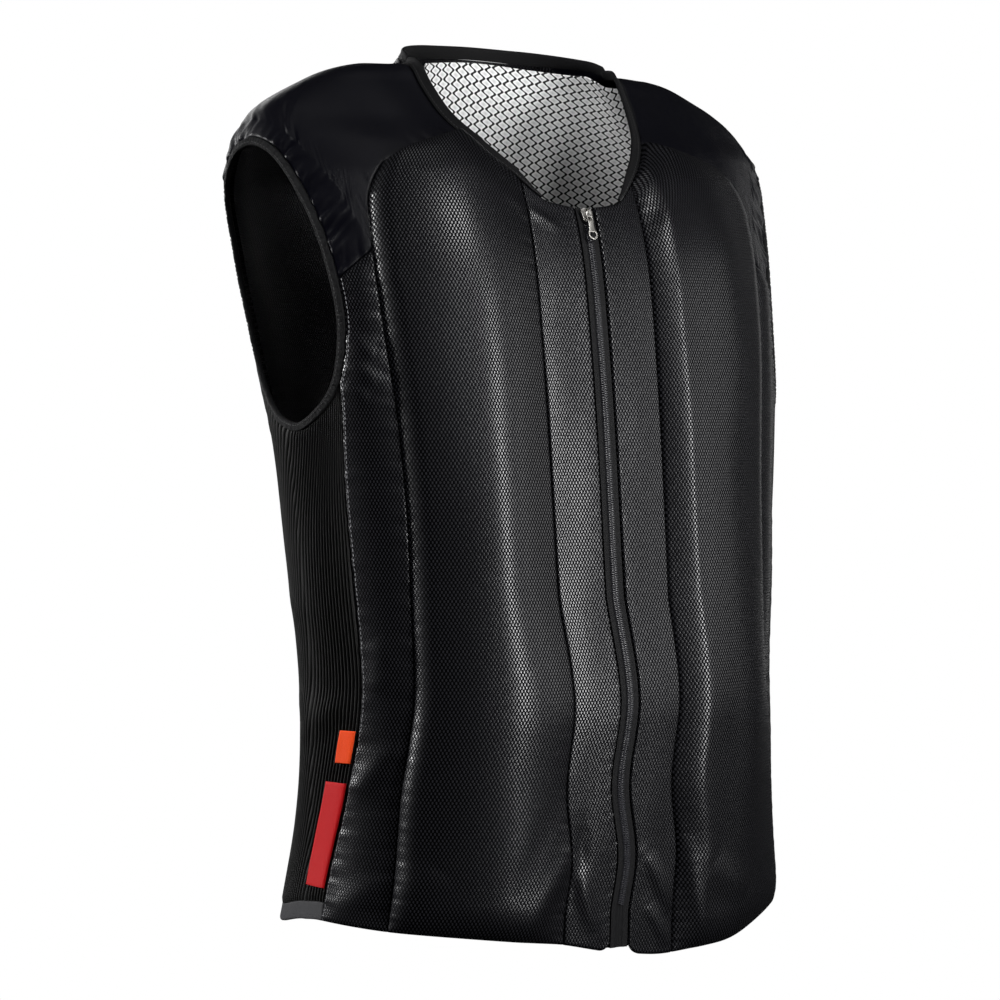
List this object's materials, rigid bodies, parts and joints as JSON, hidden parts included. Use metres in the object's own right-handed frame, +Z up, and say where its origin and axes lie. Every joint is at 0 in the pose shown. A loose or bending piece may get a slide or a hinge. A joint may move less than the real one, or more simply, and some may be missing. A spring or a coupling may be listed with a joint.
{
  "type": "airbag vest",
  "caption": "Sleeveless airbag vest, zipped at the front: padded mesh chambers, smooth shoulder yokes, ribbed knit sides and a low stand collar, standing in its worn form.",
  "frame": {"origin": "between the shoulders, level with the neck's sides, where the vest sits on its wearer", "axes": "+Z up, -Y towards the zip at the front, +X towards the wearer's left"},
  "size_m": [0.435, 0.2733, 0.6649],
  "materials": {
    "mesh_cloth": "matte black warp-knit mesh of small raised dots",
    "smooth_nylon": "smooth blue-black nylon with a soft sheen",
    "ribbed_knit": "matte black elastic knit with upright ribs",
    "band_cloth": "matte near-black binding and collar cloth",
    "pale_lining": "silver-grey lining with black zigzag lines",
    "zip_cloth": "dark grey woven zip tape",
    "zip_coil_nylon": "dark grey nylon coil",
    "nickel": "bright nickel plate",
    "orange_tag": "orange woven tag, bare",
    "red_tag": "red woven tag, bare"
  },
  "bodies": {
    "vest": {"front_chamber_right": "mesh_cloth", "front_chamber_left": "mesh_cloth", "front_strip_right": "mesh_cloth", "front_strip_left": "mesh_cloth", "placket_right": "mesh_cloth", "placket_left": "mesh_cloth", "back_panel": "mesh_cloth", "shoulder_yoke_right": "smooth_nylon", "shoulder_yoke_left": "smooth_nylon", "side_panel_right": "ribbed_knit", "side_panel_left": "ribbed_knit", "side_hem_right": "band_cloth", "side_hem_left": "band_cloth", "back_lining": "pale_lining", "collar": "band_cloth", "armhole_binding_right": "band_cloth", "armhole_binding_left": "band_cloth", "zip_tape_right": "zip_cloth", "zip_tape_left": "zip_cloth", "zip_coil": "zip_coil_nylon", "zip_slider": "nickel", "short_tag": "orange_tag", "long_tag": "red_tag"},
    "pull": {"zip_pull": "nickel"}
  },
  "joints": [
    {"name": "pull_hinge", "type": "hinge", "parent": "vest", "child": "pull", "pos_m": [0, -0.07488, -0.10927], "axis": [-1, 0, 0], "range_deg": [0, 165]}
  ]
}
